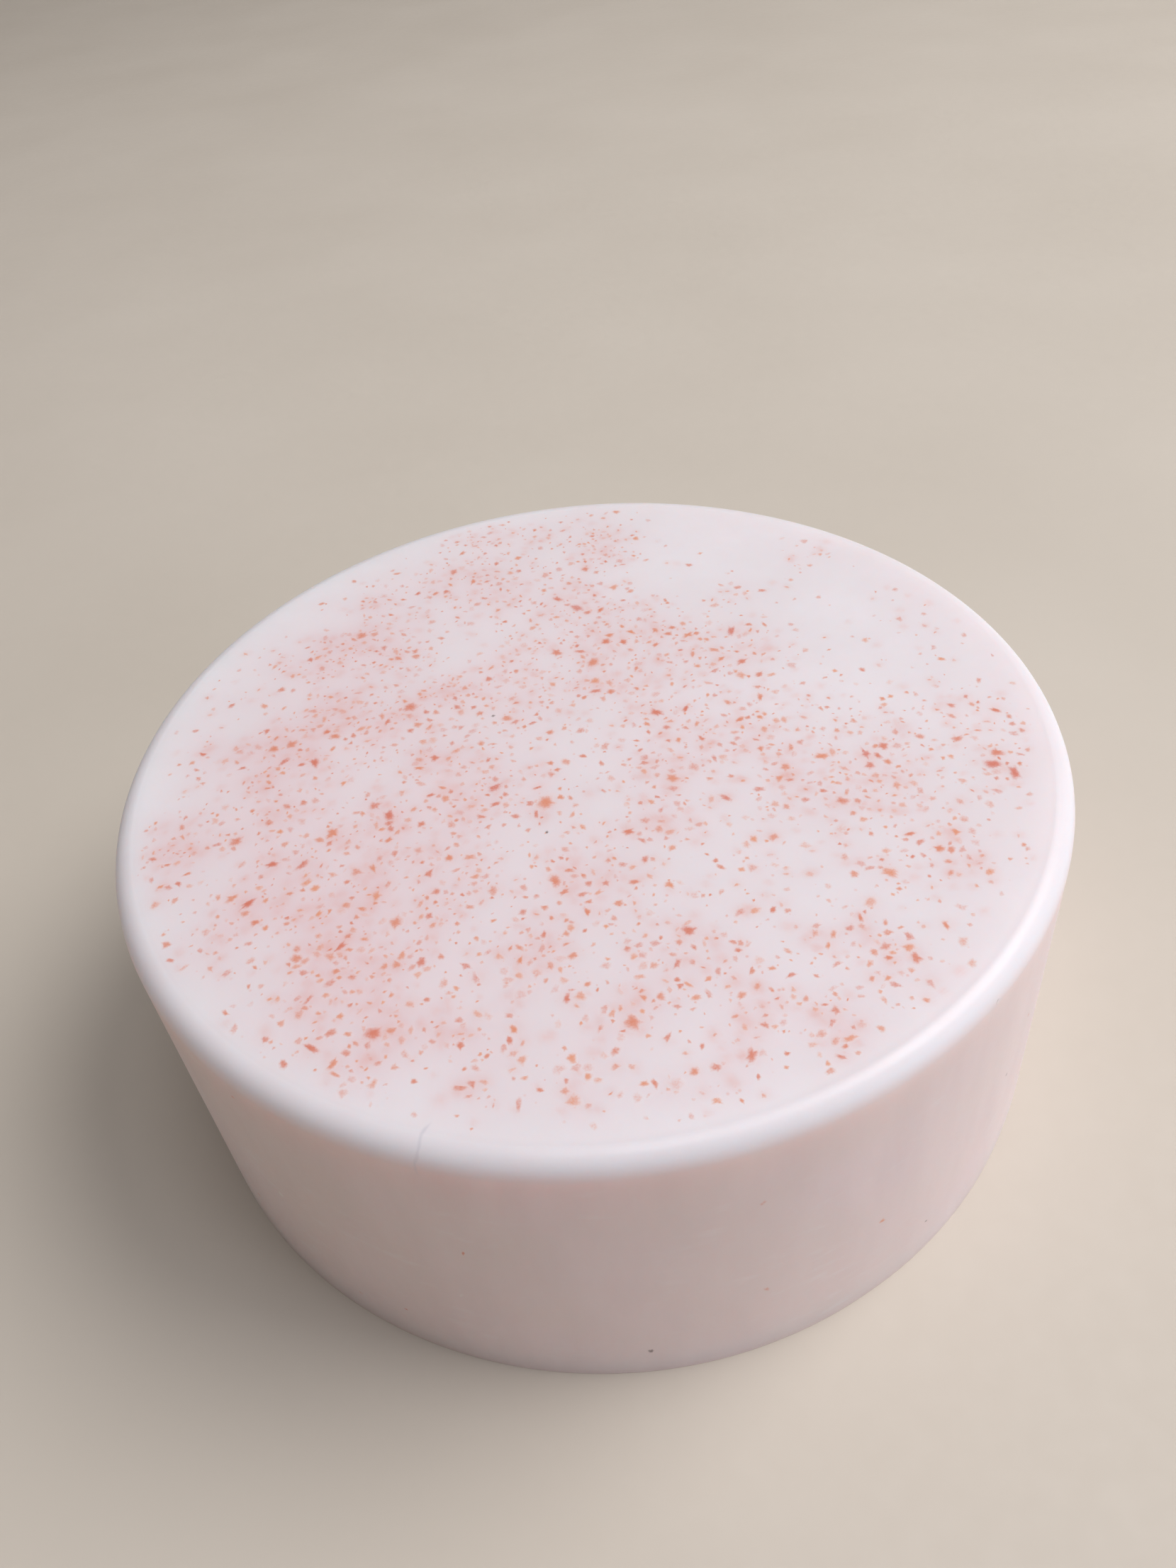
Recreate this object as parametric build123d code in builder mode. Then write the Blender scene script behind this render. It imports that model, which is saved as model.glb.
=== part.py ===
"""Shaving soap puck: one cast body of soap with red grains that have settled against its top face.

Millimetres, +Z up. The origin is the centre of the underside, which is the face the puck rests on.
The puck is cast upside down in a flexible round mould. The mould's floor forms the top face, its
mouth lies at the underside, and the walls open slightly towards the mouth so that the puck slides out.
The grains sink to the mould's floor while the soap is liquid, so each one ends up in a pocket of its
own that is open at the surface. Every grain is a separate solid that fills its pocket.
"""

import math
import os
import random

from build123d import *

# The cast body
height = 28.4
base_radius = 37.5  # at the mould's mouth
top_radius = 36.8  # where the wall would meet the top face
rim_radius = 1.5  # rounding between the wall and the top face
foot_radius = 0.35  # small rounding at the resting edge

# The grains
depth_share = 0.6  # a coarse grain's depth beside its width
medium_depth = 0.35
fine_depth = 0.2
grain_gap = 0.1  # soap left between two pockets
cluster_spread = 0.9  # how far a cluster's grains lie from its middle
cluster_sizes = (1, 1, 1, 1, 2, 3)
slimness = (0.45, 0.9)  # a grain's width beside its length
corner_counts = (5, 7)
corner_wobble = 0.25  # how unevenly a grain's corners are spaced, as a share of the spacing
nearest_corner = 0.78  # how far in a corner may lie, beside the grain's full reach
speckled_radius = 34.5  # grains reach this far out on the top face
thinning_width = 2.5  # they thin out over this width before they stop
base_density = 0.7  # how thickly they lie away from every patch, as a share of the thickest

# Where the settled grains lie thickly and where the soap is bare, as (x, y, spread, strength)
thick_patches = [
    (-18, -21, 5, 0.7),
    (-17, -5, 7, 0.5),
    (-5, -13, 6, 0.5),
    (-3, -25, 6, 0.4),
    (9, 12, 6, 0.6),
    (9, 3, 5, 0.4),
    (17, -4, 5, 0.6),
    (20, -22, 5, 0.3),
    (-20, 12, 8, 0.3),
    (2, 24, 5, 0.4),
    (8, -30, 4, 0.5),
    (-9, -30, 4, 0.4),
    (29, -8, 4, 0.4),
]
bare_patches = [
    (26, 20, 9, 1.0),
    (17, 27, 7, 1.0),
    (14, 19, 4, 0.8),
    (27, 6, 5, 0.7),
    (22, 3, 3, 0.6),
    (14, -17, 2.5, 1.0),
    (1, -3, 3, 0.5),
    (-4, -19, 2, 0.6),
    (-12, 16, 2.5, 0.8),
    (-28, 26, 7, 0.9),
    (-34, 8, 5, 0.8),
    (0, 35, 5, 0.9),
    (-16, 32, 4, 0.7),
]

# Each size class: how many grains, their lengths, and how strongly they gather where grains lie thickly
coarse_count = 48
coarse_sizes = (0.8, 1.15)
coarse_gathering = 4
medium_count = 230
medium_sizes = (0.5, 0.8)
medium_gathering = 2
fine_count = 430
fine_sizes = (0.3, 0.5)
fine_gathering = 1

# Specks of darker matter against the top face, as (x, y, length, width, turn in degrees)
dark_specks = [
    (-7.0, 4.2, 0.35, 0.3, 0),
    (-3.4, -9.8, 0.3, 0.22, 50),
]


def density(x, y):
    """How thickly the grains lie at a point of the top face, as a share of the thickest."""
    radius = math.hypot(x, y)
    if radius > speckled_radius:
        return 0.0
    level = base_density
    for px, py, spread, strength in thick_patches:
        level += strength * math.exp(-((x - px) ** 2 + (y - py) ** 2) / (2 * spread**2))
    for px, py, spread, strength in bare_patches:
        level *= 1 - strength * math.exp(-((x - px) ** 2 + (y - py) ** 2) / (2 * spread**2))
    thinning = min(1.0, (speckled_radius - radius) / thinning_width)
    return min(1.0, level) * thinning


def clear_of(x, y, reach, taken):
    """True if a grain of this reach at (x, y) keeps soap between itself and every grain so far."""
    return all(math.hypot(x - tx, y - ty) > reach + treach + grain_gap for tx, ty, treach in taken)


def settle(count, sizes, gathering, chance, taken):
    """Grains of one size class as (x, y, length, width, turn), in loose clusters that follow density()."""
    grains = []
    while len(grains) < count:
        angle = chance.uniform(0, 2 * math.pi)
        radius = speckled_radius * math.sqrt(chance.random())
        cx, cy = radius * math.cos(angle), radius * math.sin(angle)
        if chance.random() > density(cx, cy) ** gathering:
            continue
        for _ in range(chance.choice(cluster_sizes)):
            x = cx + chance.gauss(0, cluster_spread)
            y = cy + chance.gauss(0, cluster_spread)
            length = chance.uniform(*sizes)
            width = length * chance.uniform(*slimness)
            inside = math.hypot(x, y) < speckled_radius
            if len(grains) < count and inside and clear_of(x, y, length / 2, taken):
                taken.append((x, y, length / 2))
                grains.append((x, y, length, width, chance.uniform(0, 180)))
    return grains


def outline(grain, chance):
    """The corners of one grain seen from above, as an irregular polygon."""
    x, y, length, width, turn = grain
    turn = math.radians(turn)
    count = chance.randint(*corner_counts)
    corners = []
    for i in range(count):
        angle = 2 * math.pi * (i + chance.uniform(-corner_wobble, corner_wobble)) / count
        reach = chance.uniform(nearest_corner, 1.0)
        along = 0.5 * length * reach * math.cos(angle)
        across = 0.5 * width * reach * math.sin(angle)
        corners.append(
            (
                x + along * math.cos(turn) - across * math.sin(turn),
                y + along * math.sin(turn) + across * math.cos(turn),
            )
        )
    return corners


def crumbs(grains, depth, chance):
    """Grains of one depth as separate solids, flush with the top face and sunk straight into it."""
    with BuildPart() as solids:
        with BuildSketch(Plane.XY.offset(height)):
            add([Polygon(*outline(grain, chance), align=None, mode=Mode.PRIVATE) for grain in grains])
        extrude(amount=-depth)
    return solids.part


# The blank is the casting before any pocket is taken out of it
with BuildPart() as blank:
    with BuildSketch(Plane.XZ) as half_section:
        with BuildLine():
            Polyline((0, 0), (base_radius, 0), (top_radius, height), (0, height), close=True)
        make_face()
        fillet(half_section.vertices().sort_by(Axis.X)[-1], foot_radius)
        fillet(half_section.vertices().group_by(Axis.Y)[-1].sort_by(Axis.X)[-1], rim_radius)
    revolve(axis=Axis.Z)

# The grains against the top face, the coarse ones first and the smaller ones in between
chance = random.Random(7)
taken = [(x, y, length / 2) for x, y, length, width, turn in dark_specks]
coarse_grains = settle(coarse_count, coarse_sizes, coarse_gathering, chance, taken)
medium_grains = settle(medium_count, medium_sizes, medium_gathering, chance, taken)
fine_grains = settle(fine_count, fine_sizes, fine_gathering, chance, taken)

groups = {}
for number, grain in enumerate(coarse_grains, start=1):
    groups[f"coarse_grain_{number:02d}"] = crumbs([grain], depth_share * grain[3], chance)
groups["medium_grains"] = crumbs(medium_grains, medium_depth, chance)
groups["fine_grains"] = crumbs(fine_grains, fine_depth, chance)
groups["dark_specks"] = crumbs(dark_specks, fine_depth, chance)

# The body is the blank with a pocket for each of them
with BuildPart() as soap_body:
    add(blank.part)
    add(list(groups.values()), mode=Mode.SUBTRACT)

os.makedirs("parts", exist_ok=True)
soap_body.part.label = "soap_body"
export_step(soap_body.part, "parts/soap_body.step")

for name, grains in groups.items():
    grains.label = name
    export_step(grains, f"parts/{name}.step")
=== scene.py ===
import math
import random

import bpy
import numpy as np
from mathutils import Matrix, Vector


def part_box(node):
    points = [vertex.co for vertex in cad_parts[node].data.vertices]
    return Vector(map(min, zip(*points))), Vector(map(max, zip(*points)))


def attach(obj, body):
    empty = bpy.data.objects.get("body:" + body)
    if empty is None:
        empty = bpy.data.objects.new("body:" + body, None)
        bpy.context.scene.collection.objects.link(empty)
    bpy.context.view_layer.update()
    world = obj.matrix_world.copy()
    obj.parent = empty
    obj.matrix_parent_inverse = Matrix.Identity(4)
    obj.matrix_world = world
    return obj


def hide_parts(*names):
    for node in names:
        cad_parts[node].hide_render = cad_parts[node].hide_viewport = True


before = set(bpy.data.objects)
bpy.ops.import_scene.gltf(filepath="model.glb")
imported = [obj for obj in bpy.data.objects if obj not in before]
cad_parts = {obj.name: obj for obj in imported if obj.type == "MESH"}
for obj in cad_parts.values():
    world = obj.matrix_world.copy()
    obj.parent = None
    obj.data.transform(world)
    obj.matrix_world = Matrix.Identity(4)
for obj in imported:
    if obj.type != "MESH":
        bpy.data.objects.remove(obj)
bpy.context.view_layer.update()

# The look of a cast shaving soap puck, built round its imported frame. Lengths are in metres, +Z is up,
# and the origin is the centre of the underside. The speckled face is the top one.

MM = 0.001

# The casting's shape. Its outer size comes from its CAD node, and its draft, its rim and the reach of
# its grains repeat the CAD's.
base_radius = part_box("soap_body")[1].x
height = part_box("soap_body")[1].z
draft = 0.7 * MM  # how much smaller the top is than the underside, in radius
rim_radius = 1.5 * MM
foot_radius = 0.05 * MM  # crisper than the CAD's, because the poured edge is thin
lip_height = 0.045 * MM  # the faint raised line where the face turns into the rim
lip_width = 0.15 * MM
face_drop = 0.03 * MM  # the face lies this far under the CAD's, so that grains can stand proud
speckled_radius = 34.5 * MM

# How finely the casting is meshed
segments = 720
face_step = 0.32 * MM
lip_zone = 1.2 * MM  # the face is meshed more finely over this width beside the rim
lip_step = 0.09 * MM
wall_step = 0.9 * MM
under_step = 2 * MM
rim_points = 14
foot_points = 6

# How far the casting strays from a plain turned shape
dip_depth = 0.014 * MM  # of the face's slow dips
slow_waviness = 0.10 * MM  # of the wall
quick_waviness = 0.03 * MM
foot_raggedness = 0.03 * MM  # of the lowest edge, which was the soap's open surface
foot_steps = 0.05 * MM  # how far the edge steps in here and there
foot_fade_height = 0.55 * MM  # how far up the wall the ragged edge reaches
underside_dish = 0.16 * MM

# The specks that are too small or too deep for the CAD: how many, how far they lie from the CAD's
# grains, how long they are, and how much soap stays between two of them
dust_count = 2700
dust_spread = 2.3 * MM
dust_sizes = (0.17 * MM, 0.6 * MM)
dust_gap = 0.05 * MM
deep_count = 1000
deep_spread = 2.0 * MM
deep_sizes = (0.2 * MM, 0.7 * MM)

# A fine scratch that runs out over the rim at the front left
scratch_bearing = math.radians(-110)
scratch_tilt = math.radians(-10)  # off the straight way out from the middle
scratch_half_length = 1.4 * MM
scratch_half_width = 0.17 * MM

# Stray specks strewn over the wall and the rim
side_red_count = 26
side_dark_count = 9
side_pale_count = 9

# The soap scatters light, from nothing at the first of these heights to full at the second. With full
# scattering down to the floor, a dark line shows at the foot.
foot_fade = (0.1 * MM, 1.8 * MM)
scattering_weight = 0.9
scattering_depth = 4.0 * MM


# ---- Shape of the casting ----

def waves(seed, count, strongest):
    """A seeded set of (strength, turns, pitch, phase) for an irregularity that closes round the puck."""
    chance = random.Random(seed)
    return [
        (1 / turns**0.7, turns, chance.uniform(-120, 120), chance.uniform(0, 2 * math.pi))
        for turns in (chance.randint(1, strongest) for _ in range(count))
    ]


def ripple(wave_set, angle, level):
    """The irregularity at a bearing and a height, from 0 to 1."""
    total = sum(s * np.sin(n * angle + pitch * level + phase) for s, n, pitch, phase in wave_set)
    return 0.5 + 0.5 * total / sum(s for s, n, pitch, phase in wave_set)


def face_level(x, y):
    """Height of the top face, which dips very slightly here and there as a cast face does."""
    dips = (
        np.sin(95 * x + 40 * y + 1.3)
        + np.sin(-60 * x + 110 * y + 0.4)
        + 0.6 * np.sin(210 * x - 150 * y + 2.1)
        + 0.4 * np.sin(330 * x + 290 * y + 5.0)
    )
    swing = 1 + 1 + 0.6 + 0.4  # as far as the four waves go, so the face lies at least its drop down
    return height - face_drop - dip_depth * (swing + dips)


def arc(centre_r, centre_z, radius, first, last, steps):
    """Points of a rounding in the half section, from the first angle to the last in degrees."""
    angles = np.radians(np.linspace(first, last, steps))
    return [(centre_r + radius * math.cos(a), centre_z + radius * math.sin(a)) for a in angles]


def half_section():
    """The casting's outline as (radius, height) from the middle of the face, round the rim and down the
    wall to the middle of the underside. The face's points come first."""
    lean = math.degrees(math.atan2(draft, height))

    def wall_radius(level):
        return base_radius - draft * level / height

    rim_z = height - rim_radius
    rim_r = wall_radius(rim_z) - rim_radius
    foot_r = wall_radius(foot_radius) - foot_radius
    coarse_rings = np.arange(face_step, rim_r - lip_zone, face_step)
    close_rings = np.arange(rim_r - lip_zone, rim_r - 0.5 * lip_step, lip_step)
    face = [(r, height) for r in (*coarse_rings, *close_rings)]
    rim = arc(rim_r, rim_z, rim_radius, 90, lean, rim_points)
    levels = np.arange(rim_z, foot_radius, -wall_step)[1:]
    wall = [(wall_radius(z), z) for z in levels]
    foot = arc(foot_r, foot_radius, foot_radius, lean, -90, foot_points)
    under = [(r, 0.0) for r in np.arange(foot_r - 0.5 * under_step, 0.5 * under_step, -under_step)]
    return face, rim + wall + foot, under


def soap_shape():
    """The casting's mesh: rings of points from the middle of the face to the middle of the underside."""
    face, side, under = half_section()
    outline = np.array(face + side + under)
    angle = np.linspace(0, 2 * math.pi, segments, endpoint=False)
    radius = np.repeat(outline[:, 0], segments).reshape(-1, segments)
    level = np.repeat(outline[:, 1], segments).reshape(-1, segments)
    turn = np.repeat(angle[None, :], len(outline), axis=0)

    # the irregularity starts at the rim and is full on the wall and the foot
    rim_start = base_radius - draft - rim_radius
    lowest = len(face) + len(side)
    on_side = np.zeros(len(outline))
    on_side[len(face):lowest] = 1
    upper = outline[:, 1] > height - rim_radius
    on_side[upper] = np.clip((outline[upper, 0] - rim_start) / rim_radius, 0, 1)
    on_side = on_side[:, None]
    slow = ripple(waves(11, 9, 7), turn, level)
    quick = ripple(waves(12, 14, 60), turn, level)
    ragged = ripple(waves(13, 30, 150), turn, 0 * level)
    steps = np.clip((ripple(waves(14, 12, 26), turn, 0 * level) - 0.52) * 9, 0, 1)
    near_foot = np.exp(-level / foot_fade_height) * on_side
    inset = on_side * (slow_waviness * slow + quick_waviness * quick)
    inset += near_foot * (foot_raggedness * ragged + foot_steps * steps)
    lip = lip_height * ripple(waves(16, 12, 14), turn, 0 * level)
    lip = lip * np.exp(-((radius - rim_start) / lip_width) ** 2) * (level > height - 0.5 * rim_radius)
    radius = radius - inset

    x = radius * np.cos(turn)
    y = radius * np.sin(turn)
    inner = np.clip((level - (height - rim_radius)) / rim_radius, 0, 1)
    z = level + (face_level(x, y) - height) * inner + lip

    # the underside is the poured surface, a little dished with a low ripple
    dish = underside_dish * (1 - (radius[lowest:] / base_radius) ** 2)
    z[lowest:] += dish * (0.6 + 0.4 * ripple(waves(15, 8, 9), turn[lowest:], radius[lowest:]))

    rings = np.stack([x, y, z], axis=-1).reshape(-1, 3)
    middles = np.array([[0, 0, face_level(0, 0)], [0, 0, z[-1].mean()]])
    points = np.concatenate([rings, middles])
    return points, ring_faces(len(outline), segments)


def ring_faces(ring_count, sides):
    """Faces that join rings of points into a closed skin, with the two middles as the last two points."""
    quads = []
    for ring in range(ring_count - 1):
        start, below = ring * sides, (ring + 1) * sides
        for i in range(sides):
            j = (i + 1) % sides
            quads.append((start + i, below + i, below + j, start + j))
    top, bottom = ring_count * sides, ring_count * sides + 1
    last = (ring_count - 1) * sides
    caps = [(top, i, (i + 1) % sides) for i in range(sides)]
    caps += [(bottom, last + (i + 1) % sides, last + i) for i in range(sides)]
    return quads + caps


def make_object(name, points, faces, material, replaced=()):
    """A smooth-shaded piece that rides on the root body."""
    mesh = bpy.data.meshes.new(name)
    mesh.from_pydata([tuple(p) for p in points], [], faces)
    mesh.shade_smooth()
    mesh.set_sharp_from_angle(angle=math.radians(35))
    mesh.materials.append(material)
    piece = bpy.data.objects.new(name, mesh)
    bpy.context.scene.collection.objects.link(piece)
    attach(piece, "root")
    if replaced:
        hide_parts(*replaced)
    return piece


def add_attribute(piece, name, values):
    """One number for each point of a piece, for its material to read."""
    attribute = piece.data.attributes.new(name, "FLOAT", "POINT")
    attribute.data.foreach_set("value", np.asarray(values, np.float32))


# ---- Grains ----

# A crumb's rings from its top down, as (share of its outline, height as a share of its rise or its
# depth, how much of the surface is grain). The outline reaches past the grain, and fades there.
crumb_rings = (
    (0.45, 0.95, 0.97),
    (0.85, 0.8, 0.8),
    (1.15, 0.55, 0.45),
    (1.45, 0.3, 0.16),
    (1.85, 0.1, 0.0),
    (1.6, -0.4, 0.0),
    (0.7, -1.0, 0.0),
)
crumb_reaches = (0.62, 1.34)  # how far out a crumb's corners lie, beside its plain outline
corner_wobble = 0.3  # how unevenly its corners are spaced, as a share of the spacing
sink_share = 0.3  # its depth beside its width


def cad_grains(node):
    """The grains of a CAD node as (x, y, length, width, turn), one for each of its separate solids."""
    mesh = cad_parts[node].data
    keys = [tuple(round(c / (0.001 * MM)) for c in v.co) for v in mesh.vertices]
    leader = {key: key for key in keys}

    def find(key):
        while leader[key] != key:
            leader[key] = leader[leader[key]]
            key = leader[key]
        return key

    for polygon in mesh.polygons:
        first = find(keys[polygon.vertices[0]])
        for index in polygon.vertices:
            leader[find(keys[index])] = first
    solids = {}
    for key in sorted(leader):
        solids.setdefault(find(key), []).append(key)
    grains = []
    for corners in solids.values():
        flat = np.array(corners, float)[:, :2] * 0.001 * MM
        middle = (flat.max(0) + flat.min(0)) / 2
        values, vectors = np.linalg.eigh(np.cov((flat - middle).T))
        spans = np.ptp((flat - middle) @ vectors, axis=0)
        turn = math.atan2(vectors[1, 1], vectors[0, 1])
        grains.append((middle[0], middle[1], spans[1], spans[0], turn))
    return grains


def crumb(length, width, rise, sink, sides, chance):
    """Points of one closed crumb and how much of each is grain: a low dome that fades into the soap
    round its edge, over a tapering root."""
    reaches = [chance.uniform(*crumb_reaches) for _ in range(sides)]
    angles = [
        2 * math.pi * (i + chance.uniform(-corner_wobble, corner_wobble)) / sides for i in range(sides)
    ]
    points, cores = [], []
    for share, level, core in crumb_rings:
        for reach, angle in zip(reaches, angles):
            x = 0.5 * length * share * reach * math.cos(angle)
            y = 0.5 * width * share * reach * math.sin(angle)
            points.append((x, y, rise * level if level > 0 else sink * level))
            cores.append(core)
    points += [(0, 0, rise), (0, 0, -1.05 * sink)]
    cores += [1.0, 0.0]
    return points, cores


def place_on_face(grain):
    """Where a grain of the face lies, with its local Z out of the soap."""
    x, y, length, width, turn = grain
    return Matrix.Translation((x, y, face_level(x, y))) @ Matrix.Rotation(turn, 4, "Z")


def make_grains(name, placed, sides, rise, strengths, seed, material, slot, replaced=()):
    """Many crumbs as one piece, from (place, length, width) of each. Each has a tone of its own, and a
    strength between the two given, because some lie a little under the surface."""
    chance = random.Random(seed)
    faces_of_one = ring_faces(len(crumb_rings), sides)
    points, faces, tones, cores = [], [], [], []
    for place, length, width in placed:
        first = len(points)
        own, own_cores = crumb(length, width, rise, sink_share * width, sides, chance)
        strength = chance.uniform(*strengths)
        points += [place @ Vector(p) for p in own]
        faces += [tuple(first + i for i in face) for face in faces_of_one]
        # larger grains are deeper in colour
        tone = min(1.0, 0.6 * chance.random() + 0.5 * min(1.0, length / MM))
        tones += [tone] * len(own)
        cores += [strength * core for core in own_cores]
    piece = make_object(name, points, faces, material, replaced)
    add_attribute(piece, "tone", tones)
    add_attribute(piece, "core", cores)
    show_stains(piece, np.array(points))
    piece.visible_shadow = False
    piece.visible_diffuse = False
    return piece


def face_grains(name, grains, *rest):
    """Crumbs on the top face."""
    placed = [(place_on_face(grain), grain[2], grain[3]) for grain in grains]
    return make_grains(name, placed, *rest)


def side_grains(name, skin, count, lengths, *rest):
    """Crumbs strewn over the wall and the rim of the casting."""
    chance = random.Random(name)
    placed = []
    for _ in range(count):
        angle = chance.uniform(0, 2 * math.pi)
        level = chance.uniform(2 * MM, height)
        outside = Vector((base_radius * math.cos(angle), base_radius * math.sin(angle), level))
        _, spot, normal, _ = skin.closest_point_on_mesh(outside)
        upright = normal.to_track_quat("Z", "Y").to_matrix().to_4x4()
        spin = Matrix.Rotation(chance.uniform(0, math.pi), 4, "Z")
        length = chance.uniform(*lengths)
        width = length * chance.uniform(0.4, 0.8)
        placed.append((Matrix.Translation(spot) @ upright @ spin, length, width))
    return make_grains(name, placed, *rest)


def scatter(around, count, spread, lengths, gap, seed):
    """Small specks strewn round the CAD's grains, so that they gather and thin out as those do. The
    grains come largest class first, and the larger ones draw more specks. With a gap the specks keep
    clear of the grains and of each other."""
    chance = random.Random(seed)
    taken = np.array([(x, y, length / 2) for x, y, length, width, turn in around])
    specks = []
    while len(specks) < count:
        drawn_to = around[int(len(around) * chance.random() ** 1.6)]
        x = drawn_to[0] + chance.gauss(0, spread)
        y = drawn_to[1] + chance.gauss(0, spread)
        length = lengths[0] + (lengths[1] - lengths[0]) * chance.random() ** 1.5
        if math.hypot(x, y) >= speckled_radius:
            continue
        if gap is not None:
            between = np.hypot(taken[:, 0] - x, taken[:, 1] - y) - taken[:, 2] - length / 2
            if between.min() <= gap:
                continue
            taken = np.vstack([taken, (x, y, length / 2)])
        width = length * chance.uniform(0.55, 0.95)
        specks.append((x, y, length, width, chance.uniform(0, math.pi)))
    return specks


# ---- What shows through the soap ----

grid_step = 0.15 * MM
grid_half = 260  # cells from the middle to the edge of the grid


def splat(specks, sigma_of, strength_of):
    """A grid over the face on which each speck leaves a soft round stain."""
    grid = np.zeros((2 * grid_half, 2 * grid_half))
    for speck in specks:
        sigma = sigma_of(speck) / grid_step
        strength = strength_of(speck)
        reach = int(3 * sigma) + 1
        cx = speck[0] / grid_step + grid_half
        cy = speck[1] / grid_step + grid_half
        ix, iy = int(cx), int(cy)
        xs = np.arange(ix - reach, ix + reach + 1)
        ys = np.arange(iy - reach, iy + reach + 1)
        stain = np.exp(-((xs[None, :] - cx) ** 2 + (ys[:, None] - cy) ** 2) / (2 * sigma**2))
        grid[iy - reach:iy + reach + 1, ix - reach:ix + reach + 1] += strength * stain
    return grid


def show_stains(piece, points):
    """Gives a piece the stains that lie under its points."""
    add_attribute(piece, "bleed", read_grid(bleed_grid, points))
    add_attribute(piece, "deep", read_grid(deep_grid, points))


def read_grid(grid, points):
    """The grid's value under each point of the face and the rim, and nothing lower down."""
    ix = np.clip((points[:, 0] / grid_step + grid_half).astype(int), 0, 2 * grid_half - 1)
    iy = np.clip((points[:, 1] / grid_step + grid_half).astype(int), 0, 2 * grid_half - 1)
    upper = points[:, 2] > height - rim_radius
    return np.where(upper, grid[iy, ix], 0.0)


# ---- Materials ----

# A material's own coordinates are millimetres, because its noise scales are set for those.

# Colours of the face
cool_soap = (0.83, 0.775, 0.81, 1)
pale_soap = (0.86, 0.81, 0.85, 1)
mottled_soap = (0.82, 0.75, 0.77, 1)
pink_haze = (0.82, 0.66, 0.69, 1)
deep_stain = (0.80, 0.40, 0.34, 1)
faint_dot = (0.79, 0.36, 0.27, 1)

# Colours of the wall and the rim
pink_wall = (0.87, 0.735, 0.755, 1)
dusky_wall = (0.80, 0.665, 0.68, 1)
tan_patch = (0.84, 0.72, 0.69, 1)
rubbed_wall = (0.88, 0.80, 0.81, 1)
# painted glow: the band under the rim is painted whiter and cooler for the light that scatters through the
# thin rim
painted_rim_glow = (0.80, 0.795, 0.845, 1)
# painted shade that darkens the rounding at the rim a little
painted_rim_shade = (0.95, 0.952, 0.965, 1)  # multiplies the colour on the rounding
scratch_grey = (0.66, 0.63, 0.69, 1)

# Colours of the specks, each from the lightest to the deepest
red_tones = ((0.85, 0.40, 0.24, 1), (0.70, 0.20, 0.14, 1))
black_tones = ((0.25, 0.18, 0.17, 1), (0.12, 0.08, 0.08, 1))
pale_tones = ((0.92, 0.88, 0.86, 1), (0.88, 0.84, 0.80, 1))


class Nodes:
    """A short way to build a node material."""

    def __init__(self, name):
        self.material = bpy.data.materials.new(name)
        self.material.use_nodes = True
        self.tree = self.material.node_tree
        self.shader = self.tree.nodes["Principled BSDF"]

    def add(self, kind, inputs=None, **settings):
        node = self.tree.nodes.new(kind)
        for key, value in settings.items():
            setattr(node, key, value)
        for key, value in (inputs or {}).items():
            self.put(node.inputs[key], value)
        return node

    def put(self, socket, value):
        if isinstance(value, bpy.types.NodeSocket):
            self.tree.links.new(value, socket)
        else:
            socket.default_value = value

    def set(self, **values):
        for name, value in values.items():
            self.put(self.shader.inputs[name.replace("_", " ")], value)

    def attribute(self, name):
        return self.add("ShaderNodeAttribute", attribute_name=name).outputs["Fac"]

    def math(self, operation, a, b=0.0, clamp=False):
        node = self.add("ShaderNodeMath", operation=operation, use_clamp=clamp)
        self.put(node.inputs[0], a)
        self.put(node.inputs[1], b)
        return node.outputs[0]

    def mix_values(self, factor, a, b):
        return self.add("ShaderNodeMix", {"Factor": factor, "A": a, "B": b}).outputs[0]

    def axis(self, vector, name):
        return self.add("ShaderNodeSeparateXYZ", {"Vector": vector}).outputs[name]

    def mix(self, factor, a, b, blend="MIX"):
        node = self.add("ShaderNodeMix", data_type="RGBA", blend_type=blend)
        self.put(node.inputs["Factor"], factor)
        self.put(node.inputs[6], a)
        self.put(node.inputs[7], b)
        return node.outputs[2]

    def remap(self, value, low, high, to_low=0.0, to_high=1.0):
        inputs = {"Value": value, "From Min": low, "From Max": high, "To Min": to_low, "To Max": to_high}
        return self.add("ShaderNodeMapRange", inputs).outputs["Result"]

    def position(self, stretch=(1, 1, 1)):
        """Where a point is on the object, in millimetres, with each axis stretched."""
        coordinates = self.add("ShaderNodeTexCoord").outputs["Object"]
        scale = tuple(s / MM for s in stretch)
        return self.add("ShaderNodeMapping", {"Vector": coordinates, "Scale": scale}).outputs[0]

    def noise(self, where, scale, detail=3.0, roughness=0.5):
        inputs = {"Vector": where, "Scale": scale, "Detail": detail, "Roughness": roughness}
        return self.add("ShaderNodeTexNoise", inputs).outputs["Fac"]

    def bump(self, height_value, strength, distance, normal=None):
        inputs = {"Height": height_value, "Strength": strength, "Distance": distance}
        node = self.add("ShaderNodeBump", inputs)
        if normal is not None:
            self.put(node.inputs["Normal"], normal)
        return node.outputs[0]


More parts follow.
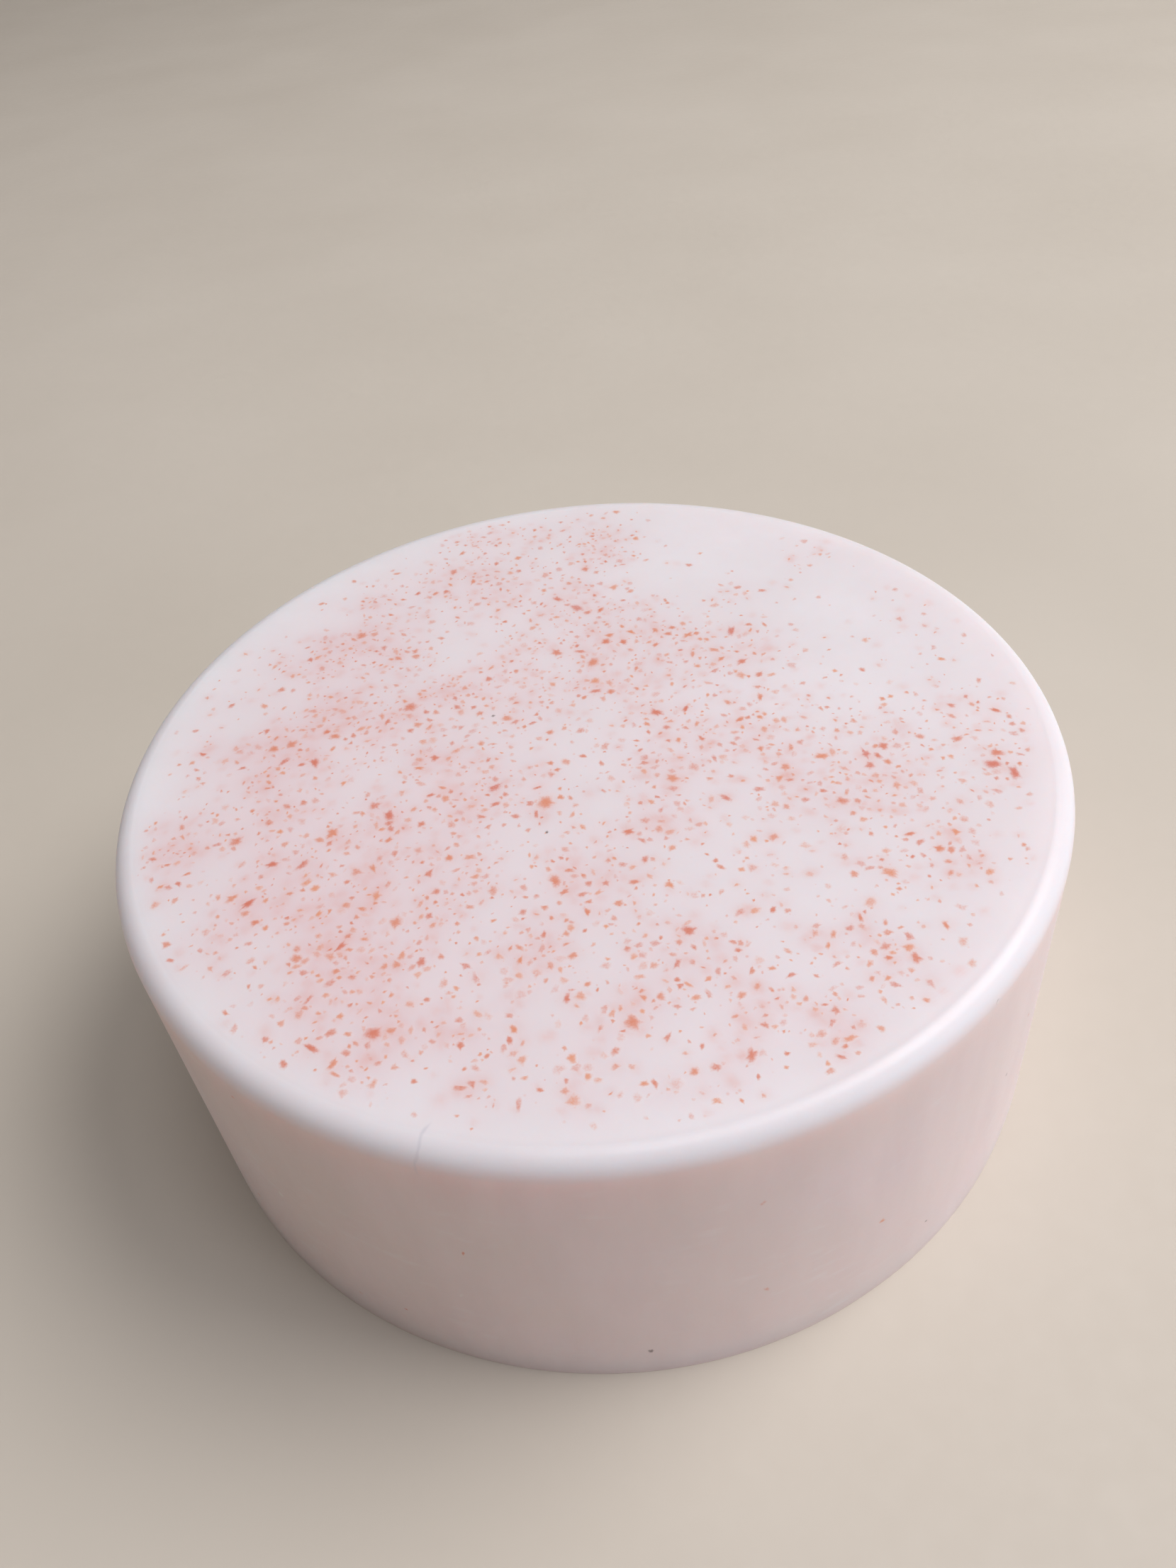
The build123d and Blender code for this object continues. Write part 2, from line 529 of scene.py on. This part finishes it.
def scratch_mark(n, where):
    """Where the scratch is, from 0 to 1: a wavering line across the inner part of the rim's rounding."""
    reach = (base_radius - draft - 0.7 * rim_radius) / MM
    middle = (reach * math.cos(scratch_bearing), reach * math.sin(scratch_bearing), 0)
    inputs = {"Vector": where, "Location": middle, "Rotation": (0, 0, scratch_bearing + scratch_tilt)}
    own_frame = n.add("ShaderNodeMapping", inputs, vector_type="TEXTURE").outputs[0]
    wander = n.remap(n.noise(where, 0.5, 2.0), 0.3, 0.7, -0.25, 0.25)
    along = n.math("ABSOLUTE", n.axis(own_frame, "X"))
    across = n.math("ABSOLUTE", n.math("ADD", n.axis(own_frame, "Y"), wander))
    upper = n.remap(n.axis(where, "Z"), (height - 1.6 * rim_radius) / MM, (height - rim_radius) / MM)
    lengthwise = n.remap(along, scratch_half_length / MM, 0.6 * scratch_half_length / MM)
    crosswise = n.remap(across, scratch_half_width / MM, 0.2 * scratch_half_width / MM)
    return n.math("MULTIPLY", n.math("MULTIPLY", lengthwise, crosswise), upper)


def face_colour(n, where, bleed, from_axis):
    """Pale and a little cloudy, and pinker where the grains have bled."""
    cloud = n.noise(where, 0.09, 3.0)
    mottle = n.noise(where, 0.55, 4.0, 0.6)
    bare = n.mix(n.remap(cloud, 0.35, 0.65), cool_soap, pale_soap)
    bare = n.mix(n.remap(mottle, 0.3, 0.75, 0.0, 0.3), bare, mottled_soap)
    # a haze of specks too fine to be pieces of their own is stronger towards -X
    sideways = n.axis(where, "X")
    half = base_radius / MM
    round_grains = n.math("MULTIPLY", bleed, n.remap(sideways, half, -half, 0.35, 0.95))
    inland = n.remap(from_axis, speckled_radius / MM, 0.8 * speckled_radius / MM)
    broad = n.math("MULTIPLY", n.remap(sideways, 0.3 * half, -0.8 * half, 0.0, 0.3), inland)
    broad = n.math("MULTIPLY", broad, n.remap(cloud, 0.3, 0.6, 0.5, 1.0))
    return n.mix(n.math("ADD", round_grains, broad, clamp=True), bare, pink_haze)


def wall_colour(n, where, streaks, band):
    """Pink with broad upright streaks that the mould left, tan patches and faint level scuffs, under a
    cooler and whiter band of painted glow, which stands in for the light that the thin rim scatters."""
    walled = n.mix(n.remap(streaks, 0.35, 0.7, 0.0, 0.7), pink_wall, dusky_wall)
    patchy = n.noise(where, 0.07, 2.0)
    walled = n.mix(n.remap(patchy, 0.4, 0.62, 0.0, 0.4), walled, tan_patch)
    scuffs = n.remap(n.noise(n.position((0.4, 0.4, 1.4)), 0.7, 4.0, 0.6), 0.54, 0.72, 0.0, 0.5)
    rubbed = n.remap(n.noise(where, 0.16, 2.0), 0.5, 0.62)
    walled = n.mix(n.math("MULTIPLY", scuffs, rubbed), walled, rubbed_wall)
    # the band under the rim takes the painted glow
    return n.mix(band, walled, painted_rim_glow)


def with_specks_below(n, where, colour, bleed, face_share):
    """The colour with soft specks under the surface: the stains, and a fine scatter of dots."""
    cells = n.add("ShaderNodeTexVoronoi", {"Vector": where, "Scale": 1.35, "Randomness": 1.0})
    picked = n.add("ShaderNodeSeparateColor", {"Color": cells.outputs["Color"]})
    radius = n.remap(picked.outputs["Red"], 0.3, 1.0, 0.02, 0.22)
    ratio = n.math("DIVIDE", cells.outputs["Distance"], radius)
    thick = n.math("MULTIPLY", n.remap(bleed, 0.06, 0.4), face_share)
    faint = n.remap(picked.outputs["Green"], 0.0, 1.0, 0.12, 0.6)
    dot = n.math("MULTIPLY", n.math("MULTIPLY", n.remap(ratio, 1.0, 0.3), thick), faint)
    stained = n.mix(n.math("MULTIPLY", n.attribute("deep"), 0.7, clamp=True), colour, deep_stain)
    return n.mix(dot, stained, faint_dot)


def with_grain(n, where, colour, grain_tones):
    """The colour, turned to grain by a piece's core attribute, with a ragged edge."""
    grain = n.mix(n.attribute("tone"), *grain_tones)
    ragged = n.remap(n.noise(where, 7.0, 3.0, 0.6), 0.3, 0.7, -0.25, 0.25)
    core = n.attribute("core")
    edge = n.math("MULTIPLY", n.math("MULTIPLY", core, n.math("SUBTRACT", 1.0, core)), 4.0)
    core = n.math("ADD", core, n.math("MULTIPLY", edge, ragged), clamp=True)
    return n.mix(core, colour, grain)


def soap_roughness(n, where, streaks, band, face_share):
    """A satin face, a slightly duller wall, and duller still at the rim."""
    fine_noise = n.noise(where, 2.2, 4.0, 0.6)
    smear = n.noise(n.position((0.25, 0.6, 0.6)), 0.5, 3.0)
    on_face = n.math("ADD", n.remap(fine_noise, 0.3, 0.7, 0.30, 0.40), n.remap(smear, 0.4, 0.7, 0.0, 0.08))
    on_wall = n.math("ADD", n.remap(fine_noise, 0.3, 0.7, 0.42, 0.54), n.remap(streaks, 0.4, 0.7, 0.0, 0.08))
    return n.mix_values(face_share, n.mix_values(band, on_wall, 0.62), on_face)


def soap_material(name="soap", grain_tones=None):
    """Pale soap that shows what lies in it. With grain_tones, a piece's core attribute turns it to grain."""
    n = Nodes(name)
    where = n.position()
    bleed = n.attribute("bleed")
    level = n.axis(where, "Z")
    upward = n.axis(n.add("ShaderNodeTexCoord").outputs["Normal"], "Z")
    face_share = n.remap(upward, 0.7, 0.98)
    flattened = n.position((1, 1, 0))
    from_axis = n.add("ShaderNodeVectorMath", {0: flattened}, operation="LENGTH").outputs["Value"]
    streaks = n.noise(n.position((0.5, 0.5, 0.15)), 0.5, 4.0, 0.55)
    # the band below the rim that carries the painted glow, and a duller finish
    band = n.remap(level, (height - 1.7 * MM) / MM, (height - 0.6 * MM) / MM, 0.0, 0.8)

    walled = wall_colour(n, where, streaks, band)
    colour = n.mix(face_share, walled, face_colour(n, where, bleed, from_axis))
    # painted shade: the rounding at the rim is darkened a little below the face
    rim_start = (base_radius - draft - rim_radius) / MM
    rim_level = n.remap(level, (height - 1.2 * rim_radius) / MM, (height - 0.5 * rim_radius) / MM)
    rim_shade_share = n.math("MULTIPLY", n.remap(from_axis, rim_start - 0.5, rim_start + 0.4), rim_level)
    colour = n.mix(rim_shade_share, colour, painted_rim_shade, "MULTIPLY")
    colour = n.mix(n.math("MULTIPLY", scratch_mark(n, where), 0.6), colour, scratch_grey)
    colour = with_specks_below(n, where, colour, bleed, face_share)
    if grain_tones:
        colour = with_grain(n, where, colour, grain_tones)

    slow_bump = n.bump(n.noise(where, 0.35, 3.0), 0.25, 0.05 * MM)
    n.set(Normal=n.bump(n.noise(where, 3.5, 4.0, 0.65), 0.18, 0.02 * MM, slow_bump))
    n.set(Base_Color=colour, IOR=1.45, Coat_Weight=0.10, Coat_Roughness=0.22)
    n.set(Roughness=soap_roughness(n, where, streaks, band, face_share))
    if not grain_tones:
        full_share = n.remap(level, foot_fade[0] / MM, foot_fade[1] / MM, 0.0, scattering_weight)
        n.set(Subsurface_Weight=full_share)
        n.set(Subsurface_Radius=(1.0, 0.72, 0.65), Subsurface_Scale=scattering_depth)
    return n.material


def floor_material():
    """A matt pale floor, very slightly uneven in tint."""
    n = Nodes("floor")
    where = n.position()
    tint = n.noise(where, 0.02, 3.0)
    n.set(Base_Color=n.mix(n.remap(tint, 0.3, 0.7), (0.60, 0.54, 0.47, 1), (0.63, 0.57, 0.50, 1)))
    n.set(Roughness=n.remap(n.noise(where, 0.5, 3.0), 0.3, 0.7, 0.6, 0.75))
    return n.material


# ---- The puck ----

coarse_nodes = sorted(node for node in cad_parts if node.startswith("coarse_grain"))
coarse = {node: cad_grains(node) for node in coarse_nodes}
medium = cad_grains("medium_grains")
fine = cad_grains("fine_grains")
dark = cad_grains("dark_specks")
cad_all = [grain for grains in coarse.values() for grain in grains] + medium + fine
dust = scatter(cad_all, dust_count, dust_spread, dust_sizes, dust_gap, 21)
deep_specks = scatter(cad_all, deep_count, deep_spread, deep_sizes, None, 22)

soap = soap_material()
red = soap_material("red_grain", red_tones)
black = soap_material("dark_fleck", black_tones)
pale = soap_material("pale_fleck", pale_tones)

# the broad tint round every grain, scaled so that it is full where the grains lie thickest
tints = splat(cad_all + dust + deep_specks, lambda speck: MM, lambda speck: (speck[2] / MM) ** 1.3)
bleed_grid = np.clip(tints / np.percentile(tints[tints > 0.01], 97), 0, 1)

# the soft spots of the specks below the surface, and a soft edge round the CAD's grains
spots = splat(deep_specks, lambda speck: 0.12 * MM + 0.25 * speck[2], lambda speck: 0.3)
edges = splat(cad_all, lambda speck: 0.1 * MM + 0.5 * speck[2], lambda speck: 0.25)
deep_grid = np.clip(spots + edges, 0, 1)

points, faces = soap_shape()
body = make_object("soap_casting", points, faces, soap, ["soap_body"])
show_stains(body, points)

for number, (node, grains) in enumerate(coarse.items()):
    face_grains(node + "_crumb", grains, 11, 0.012 * MM, (0.8, 1.0), 100 + number, red, "red_grain", [node])
face_grains("medium_crumbs", medium, 9, 0.010 * MM, (0.5, 1.0), 201, red, "red_grain", ["medium_grains"])
face_grains("fine_crumbs", fine, 8, 0.008 * MM, (0.3, 0.9), 202, red, "red_grain", ["fine_grains"])
# the dust is two pieces, because one would be too large to export whole
for number in (0, 1):
    face_grains(f"dust_crumbs_{number + 1}", dust[number::2], 7, 0.006 * MM, (0.25, 0.95), 210 + number,
                red, "red_grain")
face_grains("dark_crumbs", dark, 8, 0.008 * MM, (0.8, 1.0), 204, black, "dark_fleck", ["dark_specks"])
side_grains("side_red_crumbs", body, side_red_count, (0.25 * MM, 0.55 * MM),
            8, 0.008 * MM, (0.3, 0.9), 205, red, "red_grain")
side_grains("side_dark_crumbs", body, side_dark_count, (0.25 * MM, 0.45 * MM),
            8, 0.008 * MM, (0.6, 1.0), 206, black, "dark_fleck")
side_grains("side_pale_crumbs", body, side_pale_count, (0.25 * MM, 0.5 * MM),
            8, 0.010 * MM, (0.5, 0.9), 207, pale, "soap")


# ---- Studio ----

# The floor is level out to flat_radius, and then bends up into the backdrop
flat_radius = 1.3
bend_radius = 0.7
backdrop_height = 2.2
floor_sides = 96

lights_aim = (0, 0, 0.01)

# The viewpoint is close above the front of the puck, and slightly turned in the frame
camera_place = (0, -70.1 * MM, 89.4 * MM)
camera_drop = 43.27  # degrees below level
camera_roll = -7.0  # degrees
camera_lens = 27.03  # mm, for a sensor 36 mm wide


def make_stage():
    """A pale floor that curves up into a backdrop all the way round."""
    outline = [(0.15, 0), (0.5, 0), (flat_radius, 0)]
    for angle in np.radians(np.linspace(10, 90, 9)):
        outline.append((flat_radius + bend_radius * math.sin(angle), bend_radius * (1 - math.cos(angle))))
    outline.append((flat_radius + bend_radius, backdrop_height))
    turns = [2 * math.pi * i / floor_sides for i in range(floor_sides)]
    points = [(r * math.cos(turn), r * math.sin(turn), z) for r, z in outline for turn in turns]
    points.append((0, 0, 0))
    quads = []
    for ring in range(len(outline) - 1):
        inner, outer = ring * floor_sides, (ring + 1) * floor_sides
        for i in range(floor_sides):
            j = (i + 1) % floor_sides
            quads.append((inner + i, inner + j, outer + j, outer + i))
    middle = [(len(points) - 1, (i + 1) % floor_sides, i) for i in range(floor_sides)]
    mesh = bpy.data.meshes.new("studio_floor")
    mesh.from_pydata(points, [], quads + middle)
    mesh.flip_normals()
    mesh.shade_smooth()
    mesh.materials.append(floor_material())
    floor = bpy.data.objects.new("studio_floor", mesh)
    bpy.context.scene.collection.objects.link(floor)


def area_light(name, place, size, power, colour):
    """A round soft light of this diameter in metres and power in watts."""
    data = bpy.data.lights.new(name, "AREA")
    data.shape = "DISK"
    data.size = size
    data.energy = power
    data.color = colour
    light = bpy.data.objects.new(name, data)
    light.location = place
    light.rotation_euler = (Vector(lights_aim) - Vector(place)).to_track_quat("-Z", "Y").to_euler()
    bpy.context.scene.collection.objects.link(light)


def make_world(colour, strength):
    """Even light from everywhere that the lights leave dark."""
    world = bpy.data.worlds.new("studio")
    world.use_nodes = True
    background = world.node_tree.nodes["Background"]
    background.inputs["Color"].default_value = colour
    background.inputs["Strength"].default_value = strength
    bpy.context.scene.world = world


def make_camera():
    """The viewpoint, as the scene's camera."""
    data = bpy.data.cameras.new("camera")
    data.sensor_width = 36
    data.lens = camera_lens
    data.clip_start = 5 * MM
    camera = bpy.data.objects.new("camera", data)
    pitch = Matrix.Rotation(math.radians(90 - camera_drop), 4, "X")
    roll = Matrix.Rotation(math.radians(camera_roll), 4, "Z")
    camera.matrix_world = Matrix.Translation(camera_place) @ pitch @ roll
    bpy.context.scene.collection.objects.link(camera)
    bpy.context.scene.camera = camera


make_stage()
area_light("key", (0.63, 0.10, 0.87), 0.7, 8.5, (1.0, 0.985, 0.97))
area_light("overhead", (0.1, -0.1, 1.1), 0.5, 2.2, (0.95, 0.97, 1.0))
area_light("fill", (0.96, -0.54, 0.35), 0.6, 3.1, (0.83, 0.87, 1.0))
make_world((0.93, 0.95, 1.0, 1), 0.25)
make_camera()
bpy.context.scene.view_settings.view_transform = "Standard"
